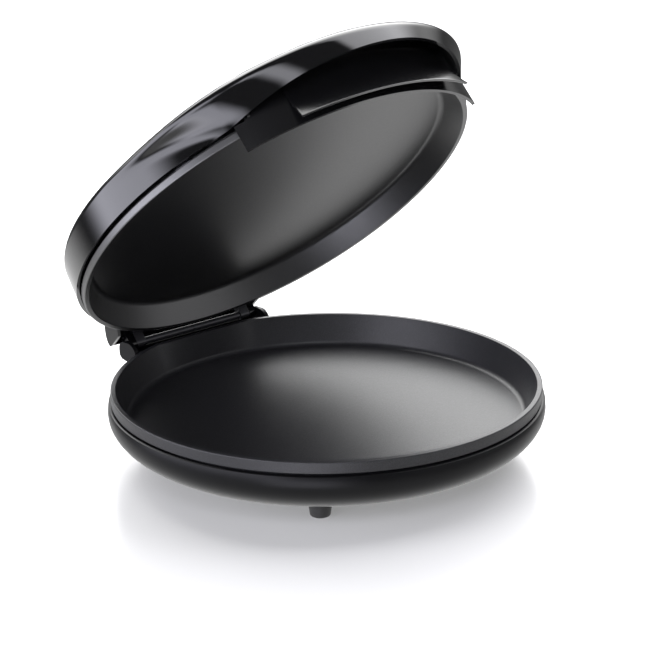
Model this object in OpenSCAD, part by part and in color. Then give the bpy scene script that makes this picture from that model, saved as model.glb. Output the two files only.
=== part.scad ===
// Electric pizza maker: a round base with a deep baking pan, and a domed lid with its own
// baking plate, hinged at the back. Millimetres. The front is -Y and up is +Z.
// The origin is on the table, under the middle of the footprint with the lid as it stands at rest.

/* [Baking pan] */
// Outer radius of the pan's rim, which sets the size of the whole maker seen from above
pan_r = 160; // [145:1:175]
// Depth of the pan inside
pan_depth = 24; // [20:1:28]
// Width of the rim's flat top
rim_w = 4; // [3:0.5:6]
// Distance from the rim's outer edge in to the pan's flat floor
pan_slope = 11; // [9:0.5:16]
// Thickness of the cast plates
cast_t = 3; // [2.5:0.5:4]
// Height of the band outside the rim
band_h = 8.4; // [7:0.2:10]
// Depth of the flat at the back of the rim
back_cut = 7; // [6:0.5:10]

/* [Base housing] */
// How far the housing stands out beyond the pan's rim
housing_out = 2.6; // [2:0.2:6]
// Depth below the rim at which the housing is widest
housing_wide_drop = 17; // [14:1:20]
// Width of the bowl's curve, from the flat underside out to the widest place
bowl_w = 57.6; // [52:0.2:63]
// Height of the housing's underside above the table
underside_z = 11; // [9:1:14]
// Height inside the housing for the heating parts under the pan
base_space = 17.5; // [16:0.5:24]
// Wall thickness of the plastic shells
wall = 2.5; // [2:0.1:3]
// Gap between the pan's band and the housing
seam = 1.3; // [0.6:0.1:2]

/* [Feet] */
// Sideways distance of a foot from the middle, as a share of the pan's radius
foot_side = 0.4875; // [0.42:0.0025:0.52]
// Distance of a foot in front of or behind the middle, as a share of the pan's radius
foot_ahead = 0.525; // [0.45:0.005:0.55]
// Radius of a foot where it meets the housing
foot_top_r = 8.8; // [8:0.1:12]
// How much narrower a foot is at the table
foot_taper = 1.4; // [0.5:0.1:2]

/* [Hinge] */
// Distance of the hinge axis behind the pan's rim
hinge_out = 6.4; // [6:0.2:9]
// Depth of the hinge axis below the pan's rim
hinge_drop = 0.7; // [0:0.1:2]
// Diameter of the steel hinge pin
pin_d = 3; // [2.5:0.5:3.5]
// Wall of the tube on the hinge pin
tube_wall = 1.3; // [1.1:0.1:1.6]
// Half the width of the cover over the hinge at the back of the lid
cover_half = 70; // [62:0.5:76]
// Width of a base ear
ear_w = 3.5; // [3:0.5:4]
// Width of a lug of the lid on the pin
lug_w = 6.5; // [5:0.5:8]
// Width of a steel hinge bracket
bracket_w = 8.5; // [7:0.5:10]
// How far the lid stands open at rest
open_angle = 45.5; // [20:0.5:80]

/* [Lid] */
// Gap between the two plates with the lid shut
shut_gap = 0.8; // [0.5:0.1:2]
// Depth of the upper baking plate inside
plate_depth = 18; // [15:1:21]
// Height of the upper plate's band
plate_band = 5.3; // [4.5:0.1:5.8]
// Gap between the upper plate's band and the shell's lower edge
lid_seam = 1.9; // [1.5:0.1:2.5]
// How far the lid shell stands out beyond the pan's rim at its lower edge
lid_out = 2.8; // [2.2:0.1:6]
// How much narrower the shell is at its shoulder
lid_taper = 1.8; // [1:0.1:4]
// Height from the back of the upper plate to the shell's shoulder
lid_space = 15.2; // [14.8:0.1:22]
// Rounding of the shoulder
shoulder_round = 6; // [4:0.5:9]
// Rise of the crown above the shoulder
crown_rise = 9; // [7:0.5:14]

/* [Hood handle] */
// Radius of the hood's upper edge seen from above, as a share of the pan's radius
hood_share = 0.95; // [0.93:0.005:0.97]
// How far forward that edge is centred, as a share of the pan's radius
hood_ahead = 0.215; // [0.2:0.005:0.23]
// Radius of the hood's lip seen from above, as a share of the pan's radius
lip_share = 0.74375; // [0.72:0.00125:0.77]
// How far forward the lip is centred, as a share of the pan's radius
lip_ahead = 0.44375; // [0.42:0.00125:0.46]
// Rise of the lip from its ends to the front, as an angle
lip_tilt = 6.8; // [4:0.2:9]
// Depth of the hood's upper edge below the shoulder
hood_edge_drop = 6; // [4:0.5:8]

/* [Guards] */
// Half the angle that the steam guard spans
steam_half = 39.7; // [38:0.1:42]
// Half the angle that the handle guard spans
handle_half = 25.6; // [22:0.1:32]
// How far the guards hang below the pan's rim with the lid shut
guard_drop = 12; // [9:0.5:15]
// Thickness of the guards
guard_t = 2.3; // [2:0.1:3]
// How far the handle guard's lip flares out from its flange
flare_out = 9.2; // [6:0.2:13]

/* [Heating] */
// Diameter of the tubular elements
heater_d = 6.5; // [6:0.1:7]
// Radius of the element rings, as a share of the pan's radius
heater_share = 0.6; // [0.56:0.01:0.62]
// Radius of the sheet steel heat shields, as a share of the pan's radius
shield_share = 0.8; // [0.78:0.01:0.82]
// Thickness of the sheet steel
sheet = 0.8; // [0.6:0.1:1]

/* [Hidden] */

fit = 0.2;            // clearance between pieces that seat on each other
run = 0.06;           // radial running clearance of a pin or screw in its bore
side_gap = 0.5;       // clearance between ears, lugs and brackets along the pin
over = 1;             // how far a cutter runs past a face
round_fn = 180;       // sides of the large turned forms, where they are drawn as facets
hull_fn = 96;         // sides of the discs that the hood is stretched over

// Radii and distances from the middle, which follow the pan's rim
floor_r = pan_r - pan_slope;
back_flat = pan_r - back_cut;
housing_r = pan_r + housing_out;
underside_r = housing_r - bowl_w;
foot_x = pan_r * foot_side;
foot_y = pan_r * foot_ahead;
hinge_back = pan_r + hinge_out;
lid_r = pan_r + lid_out;
shoulder_r = lid_r - lid_taper;
hood_r = pan_r * hood_share;
hood_shift = pan_r * hood_ahead;
lip_r = pan_r * lip_share;
lip_shift = pan_r * lip_ahead;
heater_r = pan_r * heater_share;
shield_r = pan_r * shield_share;

// Heights of the base
inside_z = underside_z + wall;
pan_under_z = inside_z + base_space;
pan_floor_z = pan_under_z + cast_t;
rim_z = pan_floor_z + pan_depth;
hinge_z = rim_z - hinge_drop;
housing_top_z = rim_z - band_h - seam;
housing_wide_z = rim_z - housing_wide_drop;

// Heights of the lid, with the lid shut
plate_z = rim_z + shut_gap;
band_top_z = plate_z + plate_band;
edge_z = band_top_z + lid_seam;
plate_floor_z = plate_z + plate_depth;
plate_back_z = plate_floor_z + cast_t;
shoulder_z = plate_back_z + lid_space;
crown_z = shoulder_z + crown_rise;
hood_edge_z = shoulder_z - hood_edge_drop;
guard_z = rim_z - guard_drop;

// The footprint runs from the housing's front to the shoulder of the open lid
rear_y = hinge_back + (shoulder_r - hinge_back) * cos(open_angle)
    + (shoulder_z - shoulder_round / 3 - hinge_z) * sin(open_angle);
origin_y = (rear_y - housing_r) / 2;

black = [0.05, 0.05, 0.055];
satin = [0.13, 0.13, 0.14];
steel = [0.72, 0.72, 0.74];
dark_steel = [0.3, 0.3, 0.32];
cream = [0.85, 0.82, 0.74];

// Points of an arc round c, from angle a to angle b, with radii rx and ry
function arc(c, rx, ry, a, b, n) =
    [for (i = [0:n]) let (t = a + (b - a) * i / n) [c[0] + rx * cos(t), c[1] + ry * sin(t)]];

// Height at radius r of a shallow dome that stands top high in the middle and is rise lower at rr
function dome_at(r, top, rise, rr) =
    let (R = (rr * rr + rise * rise) / (2 * rise)) top - R + sqrt(R * R - r * r);

module in_base() {
    translate([0, -origin_y, 0]) children();
}

// Places what is drawn with the lid shut as it stands with the lid open
module in_lid() {
    translate([0, hinge_back - origin_y, hinge_z])
        rotate([-open_angle, 0, 0])
            translate([0, -hinge_back, -hinge_z])
                children();
}

module both_sides() {
    children();
    mirror([1, 0, 0]) children();
}

// A round bar along the hinge axis, from x0 with length w
module on_hinge(x0, w, r) {
    translate([x0, hinge_back, hinge_z]) rotate([0, 90, 0]) cylinder(r = r, h = w, $fn = 64);
}

// A plate with its sides square to X, from x0 with width w, drawn as points [y, z]
module side_plate(x0, w, pts) {
    translate([x0, 0, 0]) rotate([90, 0, 90]) linear_extrude(w) polygon(pts);
}

// A profile of points [r, z] turned through half an angle to each side of the front
module front_sector(half, pts) {
    rotate([0, 0, -90 - half]) rotate_extrude(angle = 2 * half, $fn = round_fn) polygon(pts);
}

// ---------------------------------------------------------------- base housing and feet

bowl_steps = 14;
bowl_centre = [underside_r, housing_wide_z];
housing_top_r = housing_r - 1.8;
inner_top_r = housing_top_r - wall + 0.8;
bowl_out = concat([[0, underside_z]],
    arc(bowl_centre, bowl_w, housing_wide_z - underside_z, -90, 0, bowl_steps),
    [[housing_r - 0.4, housing_top_z - 2.6], [housing_top_r + 0.9, housing_top_z - 0.5],
    [housing_top_r, housing_top_z], [0, housing_top_z]]);
bowl_in = concat([[0, inside_z]],
    arc(bowl_centre, bowl_w - wall, housing_wide_z - inside_z, -90, 0, bowl_steps),
    [[inner_top_r, housing_top_z - 2], [inner_top_r, housing_top_z + over], [0, housing_top_z + over]]);

screw_r = 2;
screw_head_r = 3.8;
screw_head_h = 2.6;
screw_head_z = 1.4;
post_r = 5.5;
post_top_z = pan_under_z - 8;
peg_r = 5;
peg_h = 2;
foot_bottom_r = foot_top_r - foot_taper;
foot_sink = 3;
foot_gap = 0.05;
foot_round = 1.2;

module at_feet() {
    for (sx = [-1, 1], sy = [-1, 1]) translate([sx * foot_x, sy * foot_y, 0]) children();
}

// The outline of a base ear, drawn from the hinge axis. It rises from the housing's wall, arches
// over the pin and comes down behind it.
ear_root = 0.86;
ear_root_y = housing_r * ear_root - hinge_back;
ear_low_z = housing_top_z - hinge_z;
ear_back = 6;
ear_outline = concat([[ear_root_y, ear_low_z - 4], [-16.1, ear_low_z - 0.5]],
    arc([-6, -5], 10, 9, 170, 95, 6), arc([0, -2.4], ear_back, 6, 80, 0, 6),
    [[ear_back, ear_low_z + 1.3], [ear_back - 3, ear_low_z - 1.7], [-4.7, ear_low_z - 2.5],
    [ear_root_y, ear_low_z - 15]]);
ear_cap = 1;

// The gutter between the ears catches drips from the hinge
gutter_t = 2.2;
gutter_top = -5.4;
gutter_outline = [[ear_root_y, ear_low_z - gutter_t], [ear_back - 3, ear_low_z - gutter_t],
    [ear_back, ear_low_z + 1], [ear_back, gutter_top], [ear_back - gutter_t, gutter_top],
    [ear_back - gutter_t, ear_low_z], [ear_root_y, ear_low_z]];

// The seat of the bush through which the mains lead goes in
bush_r = 4.6;
bush_z = underside_z + 11;
bush_seat_y = housing_r - 4;
bush_boss_r = bush_r + 2.4;
bush_len = 22;

module base_housing() {
    color(black) in_base() difference() {
        union() {
            difference() {
                union() {
                    rotate_extrude($fn = round_fn) polygon(bowl_out);
                    translate([0, hinge_back, hinge_z]) {
                        both_sides() side_plate(ear_in, ear_w, ear_outline);
                        side_plate(-ear_in - over, 2 * (ear_in + over), gutter_outline);
                    }
                    translate([0, bush_seat_y - bush_len, bush_z]) rotate([-90, 0, 0])
                        cylinder(r = bush_boss_r, h = bush_len, $fn = 64);
                }
                rotate_extrude($fn = round_fn) polygon(bowl_in);
            }
            at_feet() translate([0, 0, underside_z + wall / 2])
                cylinder(r = post_r, h = post_top_z - underside_z - wall / 2, $fn = 48);
        }
        both_sides() on_hinge(ear_in - over, over + ear_w - ear_cap, pin_d / 2 + run);
        at_feet() cylinder(r = screw_r + fit, h = rim_z, $fn = 32);
        at_feet() translate([0, 0, underside_z - over])
            cylinder(r = peg_r + run, h = over + peg_h, $fn = 48);
        translate([0, bush_seat_y - bush_len - over, bush_z]) rotate([-90, 0, 0])
            cylinder(r = bush_r, h = bush_len + 2 * over, $fn = 64);
    }
}

// Rubber feet that follow the bowl, each with a peg in the housing's recess
module base_feet() {
    color(black) in_base() difference() {
        union() {
            difference() {
                at_feet() rotate_extrude($fn = 64) polygon(concat([[0, 0]],
                    arc([foot_bottom_r - foot_round, foot_round], foot_round, foot_round, -90, -10, 4),
                    [[foot_top_r, underside_z], [foot_top_r, underside_z + foot_sink],
                    [0, underside_z + foot_sink]]));
                translate([0, 0, -foot_gap]) rotate_extrude($fn = round_fn) polygon(bowl_out);
            }
            at_feet() translate([0, 0, underside_z - over])
                cylinder(r = peg_r, h = over + peg_h - run, $fn = 48);
        }
        at_feet() {
            translate([0, 0, -over])
                cylinder(r = screw_head_r + fit, h = over + screw_head_z + screw_head_h, $fn = 48);
            cylinder(r = screw_r + fit, h = underside_z + peg_h + over, $fn = 32);
        }
    }
}

module foot_screws() {
    color(steel) in_base() at_feet() {
        translate([0, 0, screw_head_z]) cylinder(r = screw_head_r, h = screw_head_h, $fn = 48);
        translate([0, 0, screw_head_z + screw_head_h - run])
            cylinder(r = screw_r, h = pan_under_z - 1.5 - screw_head_z - screw_head_h, $fn = 32);
    }
}

// ---------------------------------------------------------------- baking plates

pan_boss_r = 5;
rim_in_r = pan_r - rim_w;
rim_round = 0.8;
fillet = 4;

// What both plates carry on their backs to hold the element and the shield. z is the plate's
// back, and dir is the side that the back faces.
clip_angles = [15, 165, 235, 305];
clip_w = 10;
clip_foot = 9;
clip_gap = clip_w * clip_w / (8 * heater_r) + run;
bend_r = heater_d / 2 + 0.3;
clip_h = bend_r + heater_d / 2 + clip_gap + sheet;
stud_r = 1.5;
stud_out = heater_d / 2 + 5;
stud_h = sheet + 0.8;
shield_boss_at = shield_r - 10;
shield_boss_r = 4;
shield_boss_h = clip_h;
shield_gap = 0.4;
shield_screw_r = 1.4;
shield_screw_head = 2;
shield_screw_in = 5;
screw_end_gap = 0.5;

module at_clips() {
    for (a = clip_angles) rotate([0, 0, a]) translate([heater_r, 0, 0]) children();
}

module at_shield_bosses() {
    for (a = [30:120:270]) rotate([0, 0, a]) translate([shield_boss_at, 0, 0]) children();
}

// Extends a rod of radius r from the plate's back at z by h, towards dir, and sunk by sink
module back_rod(z, dir, r, h, sink = 0.5) {
    translate([0, 0, dir > 0 ? z - sink : z - h]) cylinder(r = r, h = h + sink, $fn = 32);
}

module plate_studs(z, dir) {
    at_clips() for (s = [-1, 1]) translate([s * stud_out, 0, 0]) back_rod(z, dir, stud_r, stud_h);
    at_shield_bosses() back_rod(z, dir, shield_boss_r, shield_boss_h);
}

module plate_screw_holes(z, dir) {
    deep = shield_screw_in + screw_end_gap;
    at_shield_bosses() translate([0, 0, dir > 0 ? z + shield_boss_h - deep : z - shield_boss_h - over])
        cylinder(r = shield_screw_r + run, h = deep + over, $fn = 24);
}

module lower_pan() {
    color(satin) in_base() difference() {
        union() {
            difference() {
                rotate_extrude($fn = round_fn) polygon([[0, pan_under_z], [floor_r + 1, pan_under_z],
                    [floor_r + 3.4, pan_under_z + 2.4], [rim_in_r + cast_t / 3, rim_z - band_h - 2],
                    [rim_in_r + cast_t / 3, rim_z - band_h], [pan_r - 0.4, rim_z - band_h],
                    [pan_r, rim_z - band_h + 0.4], [pan_r, rim_z - rim_round], [pan_r - rim_round, rim_z],
                    [0, rim_z]]);
                translate([-pan_r, back_flat, pan_under_z - over]) cube([2 * pan_r, pan_r, rim_z]);
            }
            at_feet() translate([0, 0, post_top_z + fit])
                cylinder(r = pan_boss_r, h = pan_under_z + over - post_top_z - fit, $fn = 48);
            plate_studs(pan_under_z, -1);
        }
        difference() {
            rotate_extrude($fn = round_fn) polygon(concat([[0, pan_floor_z]],
                arc([floor_r - fillet, pan_floor_z + fillet], fillet, fillet, -90, -15, 5),
                [[rim_in_r - 0.6, rim_z - rim_round], [rim_in_r, rim_z], [rim_in_r, rim_z + over],
                [0, rim_z + over]]));
            translate([-pan_r, back_flat - rim_w, pan_floor_z - over]) cube([2 * pan_r, pan_r, rim_z]);
        }
        at_feet() translate([0, 0, post_top_z])
            cylinder(r = screw_r + run, h = pan_under_z - post_top_z - 1, $fn = 32);
        plate_screw_holes(pan_under_z, -1);
    }
}

plate_neck_r = pan_r - 2.8;
plate_floor_r = floor_r - 1;

module upper_plate() {
    color(satin) in_lid() difference() {
        union() {
            rotate_extrude($fn = round_fn) polygon([[0, plate_z], [pan_r - rim_round, plate_z],
                [pan_r, plate_z + rim_round], [pan_r, band_top_z - 0.3], [pan_r - 0.3, band_top_z],
                [plate_neck_r, band_top_z], [plate_neck_r, edge_z + 0.5], [plate_floor_r + 5, plate_floor_z],
                [plate_floor_r + 1, plate_back_z], [0, plate_back_z]]);
            plate_studs(plate_back_z, 1);
        }
        rotate_extrude($fn = round_fn) polygon(concat(
            [[0, plate_floor_z], [plate_floor_r - fillet, plate_floor_z]],
            arc([plate_floor_r - fillet, plate_floor_z - fillet], fillet, fillet, 75, 15, 4),
            [[rim_in_r - 0.6, plate_z + rim_round], [rim_in_r, plate_z], [rim_in_r, plate_z - over],
            [0, plate_z - over]]));
        plate_screw_holes(plate_back_z, 1);
        at_spring_clips() translate([0, 0, band_top_z - clip_rivet_in - fit])
            cylinder(r = clip_rivet_r + run, h = clip_rivet_in + fit + over, $fn = 24);
    }
}

// ---------------------------------------------------------------- heating

leg_x = 14;
leg_y = sqrt(heater_r * heater_r - leg_x * leg_x);
leg_angle = asin(leg_x / heater_r);
leg_h = 5;
leg_pin_h = 4;
leg_pin_r = 1.3;

// A ring heater with a gap at the back, whose two cold ends turn away from the plate
module ring_heater(z, dir) {
    r = heater_d / 2;
    rotate([0, 0, 90 + leg_angle]) translate([0, 0, z])
        rotate_extrude(angle = 360 - 2 * leg_angle, $fn = round_fn)
            translate([heater_r, 0]) circle(r = r, $fn = 32);
    both_sides() translate([leg_x, leg_y, z]) {
        sphere(r = bend_r, $fn = 32);
        translate([0, 0, dir > 0 ? 0 : -leg_h]) cylinder(r = r - 0.2, h = leg_h, $fn = 32);
        translate([0, 0, dir > 0 ? leg_h - 1 : -leg_h - leg_pin_h])
            cylinder(r = leg_pin_r, h = leg_pin_h + 1, $fn = 24);
    }
}

lower_heater_z = pan_under_z - bend_r;
upper_heater_z = plate_back_z + bend_r;

module lower_element() {
    color(dark_steel) in_base() ring_heater(lower_heater_z, -1);
}

module upper_element() {
    color(dark_steel) in_lid() ring_heater(upper_heater_z, 1);
}

// Pressed straps that hold the ring to the plate. Their feet are staked on the plate's studs.
module element_clips(z, dir) {
    r = heater_d / 2 + clip_gap;
    at_clips() difference() {
        union() {
            for (s = [-1, 1]) translate([s > 0 ? r : -r - clip_foot, -clip_w / 2, dir > 0 ? z : z - sheet])
                cube([clip_foot, clip_w, sheet]);
            for (s = [-1, 1])
                translate([s > 0 ? r : -r - sheet, -clip_w / 2, dir > 0 ? z : z - clip_h])
                    cube([sheet, clip_w, clip_h]);
            translate([-r - sheet, -clip_w / 2, dir > 0 ? z + clip_h - sheet : z - clip_h])
                cube([2 * (r + sheet), clip_w, sheet]);
        }
        for (s = [-1, 1]) translate([s * stud_out, 0, z - 5]) cylinder(r = stud_r + run, h = 10, $fn = 24);
    }
}

module lower_element_clips() {
    color(steel) in_base() element_clips(pan_under_z, -1);
}

module upper_element_clips() {
    color(steel) in_lid() element_clips(plate_back_z, 1);
}

shield_lip = 3;

// A dished disc of sheet steel whose face towards the plate is at z
module heat_shield(z, dir) {
    difference() {
        rotate_extrude($fn = round_fn) polygon([[0, z], [shield_r, z],
            [shield_r + shield_lip, z - dir * shield_lip],
            [shield_r + shield_lip + sheet, z - dir * shield_lip],
            [shield_r + sheet / 2, z + dir * sheet], [0, z + dir * sheet]]);
        at_shield_bosses() translate([0, 0, z - 2]) cylinder(r = shield_screw_r + fit, h = 4, $fn = 24);
        both_sides() translate([leg_x, leg_y, z - 2]) cylinder(r = heater_d / 2 + 1, h = 4, $fn = 32);
        translate([0, 0, z - 2]) cylinder(r = thermostat_r + 3, h = 4, $fn = 48);
    }
}

module shield_screws(z, dir) {
    at_shield_bosses() {
        translate([0, 0, dir > 0 ? z : z - shield_screw_head])
            cylinder(r = 3, h = shield_screw_head, $fn = 32);
        translate([0, 0, dir > 0 ? z - shield_screw_in - sheet : z - 0.1])
            cylinder(r = shield_screw_r, h = shield_screw_in + sheet + 0.1, $fn = 24);
    }
}

lower_shield_z = pan_under_z - shield_boss_h - shield_gap;
upper_shield_z = plate_back_z + shield_boss_h + shield_gap;
thermostat_r = 8;

module lower_shield() {
    color(steel) in_base() difference() {
        heat_shield(lower_shield_z, -1);
        at_feet() translate([0, 0, lower_shield_z - 2]) cylinder(r = pan_boss_r + 1.5, h = 4, $fn = 48);
    }
}

module lower_shield_screws() {
    color(steel) in_base() shield_screws(lower_shield_z - sheet, -1);
}

module upper_shield() {
    color(steel) in_lid() heat_shield(upper_shield_z, 1);
}

module upper_shield_screws() {
    color(steel) in_lid() shield_screws(upper_shield_z + sheet, 1);
}

// A disc thermostat on the plate's back at z, with its two tabs
module thermostat(z, dir) {
    translate([0, 0, dir > 0 ? z : z - 5]) cylinder(r = thermostat_r, h = 5, $fn = 48);
    translate([0, 0, dir > 0 ? z + 5 - 0.5 : z - 10]) cylinder(r = thermostat_r - 1.2, h = 5.5, $fn = 48);
    for (s = [-1, 1]) translate([s * 4 - 0.4, -2.5, dir > 0 ? z + 9.5 : z - 13]) cube([0.8, 5, 3.5]);
}

module lower_thermostat() {
    color(steel) in_base() thermostat(pan_under_z, -1);
}

module upper_thermostat() {
    color(steel) in_lid() thermostat(plate_back_z, 1);
}

fuse_r = 2.2;
fuse_y = 34;

// A cylindrical thermal fuse with its leads, pressed to the pan's underside
module thermal_fuse() {
    color(cream) in_base() translate([0, fuse_y, pan_under_z - fuse_r - 0.1]) rotate([0, 90, 0]) {
        cylinder(r = fuse_r, h = 12, center = true, $fn = 32);
        cylinder(r = 0.6, h = 28, center = true, $fn = 16);
    }
}

block_gap = 1;
block_h = lower_shield_z - sheet - block_gap - inside_z;
block_size = [34, 14, block_h];
block_y = 66;

module terminal_block() {
    color(cream) in_base() translate([0, block_y, inside_z]) difference() {
        translate([-block_size[0] / 2, -block_size[1] / 2, 0]) cube(block_size);
        for (x = [-11, 0, 11]) translate([x, 0, 2]) {
            translate([-2, -block_size[1] / 2 - over, 0]) cube([4, 4, 3.5]);
            translate([-2, block_size[1] / 2 - 3, 0]) cube([4, 4, 3.5]);
            translate([0, -3, 2]) cylinder(r = 1.6, h = block_size[2], $fn = 24);
            translate([0, 3, 2]) cylinder(r = 1.6, h = block_size[2], $fn = 24);
        }
    }
}

inlet_hole_r = 3.3;
bush_flange = 2;

module cord_inlet_bush() {
    color(black) in_base() translate([0, bush_seat_y, bush_z]) rotate([-90, 0, 0]) difference() {
        union() {
            translate([0, 0, -bush_len]) cylinder(r = bush_r - run, h = bush_len + over, $fn = 64);
            cylinder(r = bush_boss_r - 0.4, h = bush_flange, $fn = 64);
        }
        translate([0, 0, -bush_len - over])
            cylinder(r = inlet_hole_r, h = bush_len + bush_flange + 2 * over, $fn = 48);
    }
}

// ---------------------------------------------------------------- hinge

// Along the pin, from the outside in: the cover's wall, a base ear, a lug of the lid, a steel
// bracket and half of the tube
cover_in = cover_half - wall;
ear_in = cover_in - side_gap - ear_w;
lug_in = ear_in - side_gap - lug_w;
bracket_in = lug_in - side_gap - bracket_w;
tube_len = bracket_in - side_gap;
tube_d = pin_d + 2 * tube_wall;
tube_seam = 0.2;

// The cover behind the shell arches over the hinge. Its outlines are drawn from the hinge axis.
cover_roof = 12.5;
cover_low = 7.4;
cover_back = 12.3;
cover_top = [[cover_back, cover_low + 0.8], [cover_back, 12.6], [7.8, 21.7], [2.5, 25.3], [-5, 26.5],
    [-30, 26.5]];
cover_outline = concat([[-30, cover_roof], [-8, cover_roof], [-4.5, cover_low], [10, cover_low]],
    cover_top);
cover_hollow = concat([[-30 - over, cover_low - over], [-30 - over, cover_roof], [0, cover_roof]],
    arc([0, 0], cover_roof, cover_roof, 84, 33, 7), [[10.5, cover_low - over]]);

module hinge_cover() {
    translate([0, hinge_back, hinge_z]) {
        difference() {
            side_plate(-cover_half, 2 * cover_half, cover_outline);
            side_plate(-cover_in, 2 * cover_in, cover_hollow);
        }
        both_sides() side_plate(lug_in, lug_w, lug_outline);
    }
    both_sides() on_hinge(lug_in, lug_w, knuckle_r);
}

knuckle_r = pin_d / 2 + 2.2;
lug_outline = [[-knuckle_r - 1, cover_roof + over], [-knuckle_r, 0], [knuckle_r, 0],
    [knuckle_r - 1, cover_roof + over]];

bracket_t = 1.8;
bracket_gap = 0.1;
bracket_pad_y = -9.8;
bracket_arm_y = -5.6;
bracket_outline = [[bracket_pad_y, cover_roof - bracket_gap], [bracket_pad_y, cover_roof - bracket_t],
    [bracket_arm_y, cover_roof - bracket_t], [-knuckle_r, 0], [knuckle_r, 0],
    [0, cover_roof - bracket_gap]];
bracket_screw_r = 1.3;
bracket_screw_len = 7;
bracket_head_r = 2;
bracket_head_h = 1.4;

module at_bracket_screws() {
    both_sides() translate([bracket_in + bracket_w / 2, hinge_back + (bracket_pad_y + bracket_arm_y) / 2,
        hinge_z + cover_roof - bracket_t]) children();
}

// Brackets on the lid, from the cover's roof down to the pin
module hinge_brackets() {
    color(dark_steel) in_lid() difference() {
        both_sides() {
            on_hinge(bracket_in, bracket_w, knuckle_r);
            translate([0, hinge_back, hinge_z]) side_plate(bracket_in, bracket_w, bracket_outline);
        }
        both_sides() on_hinge(bracket_in - over, bracket_w + 2 * over, pin_d / 2 + run);
        at_bracket_screws() translate([0, 0, -over])
            cylinder(r = bracket_screw_r + fit, h = bracket_t + 2 * over, $fn = 32);
    }
}

module bracket_screws() {
    color(steel) in_lid() at_bracket_screws() {
        translate([0, 0, -bracket_head_h]) cylinder(r = bracket_head_r, h = bracket_head_h, $fn = 32);
        translate([0, 0, -0.1]) cylinder(r = bracket_screw_r, h = bracket_screw_len + 0.1, $fn = 32);
    }
}

module hinge_tube_half() {
    difference() {
        on_hinge(tube_seam, tube_len - tube_seam, tube_d / 2);
        on_hinge(-over, tube_len + 2 * over, pin_d / 2 + run);
    }
}

module hinge_tube_left() {
    color(black) in_base() mirror([1, 0, 0]) hinge_tube_half();
}

module hinge_tube_right() {
    color(black) in_base() hinge_tube_half();
}

pin_end = ear_in + ear_w - ear_cap - 0.5;

module hinge_pin() {
    color(steel) in_base() on_hinge(-pin_end, 2 * pin_end, pin_d / 2);
}

// ---------------------------------------------------------------- lid shell

dome_flat_r = shoulder_r - shoulder_round;
crown_steps = 8;

// The dome's profile, inset by t
function dome_profile(t) = concat(
    [[0, edge_z - (t > 0 ? over : 0)], [lid_r - t, edge_z - (t > 0 ? over : 0)]],
    arc([dome_flat_r, shoulder_z - shoulder_round], shoulder_round - t, shoulder_round - t, 0, 84, 5),
    [for (i = [1:crown_steps]) let (r = dome_flat_r * (1 - i / crown_steps))
        [r, dome_at(r, crown_z - t, crown_rise, dome_flat_r)]]);

// The plane that the hood's lip lies in passes through its two ends at the shell's edge
lip_end_r = lid_r + 0.2;
lip_end_y = (lip_r * lip_r - lip_end_r * lip_end_r - lip_shift * lip_shift) / (2 * lip_shift);
lip_mid_z = edge_z + (lip_shift + lip_end_y) * tan(lip_tilt);
deck_in = 6;
deck_z = shoulder_z - 0.7;
blend_r = pan_r * 0.625;
blend_shift = pan_r * 0.125;
blend_z = dome_at(blend_r + 10, crown_z, crown_rise, dome_flat_r) - 0.6;
recess_cut_h = 6;

// A thin disc of radius r for the hood to be stretched over
module hoop(r) {
    cylinder(r = r, h = 0.2, $fn = hull_fn);
}

// The hood is stretched over its lip, its upper edge and its deck, inset by t, and stays above
// the shell's edge
module hood_form(t) {
    span = 3 * pan_r;
    intersection() {
        hull() {
            translate([0, -lip_shift, lip_mid_z]) rotate([-lip_tilt, 0, 0])
                translate([0, 0, t > 0 ? -over : 0]) hoop(lip_r - t);
            translate([0, -hood_shift, hood_edge_z - t]) hoop(hood_r - t);
            translate([0, -hood_shift, deck_z - t]) hoop(hood_r - deck_in - t);
            translate([0, -blend_shift, blend_z - t]) hoop(blend_r - t);
        }
        translate([-span / 2, -span / 2, edge_z - (t > 0 ? over : 0)]) cube(span);
    }
}

stop_post_r = 4;
stop_at_r = pan_r - 20;
lens_x = 12;
lens_y = 18 - pan_r;
lens_r = 4;
lens_flange = 1.4;
lens_seat_z = shoulder_z - 5;
rib_z = edge_z + 4;
rib_h = 2.4;
rib_half = 3;
rib_in_r = lid_r - wall - 1.2;
spring_clip_angles = [-35, 35, 90, 145, 215];

module at_lenses() {
    for (s = [-1, 1]) translate([s * lens_x, lens_y, 0]) children();
}

tab_angles = [-27, 0, 27];
tab_w = 12;
tab_at_r = pan_r - tab_w / 2;
tab_z = shoulder_z - 9;
tab_t = 2.4;
tab_screw_r = 1.5;
tab_screw_in = 4.5;

module at_tabs() {
    for (a = tab_angles) rotate([0, 0, a - 90]) translate([tab_at_r, 0, 0]) children();
}

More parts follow.
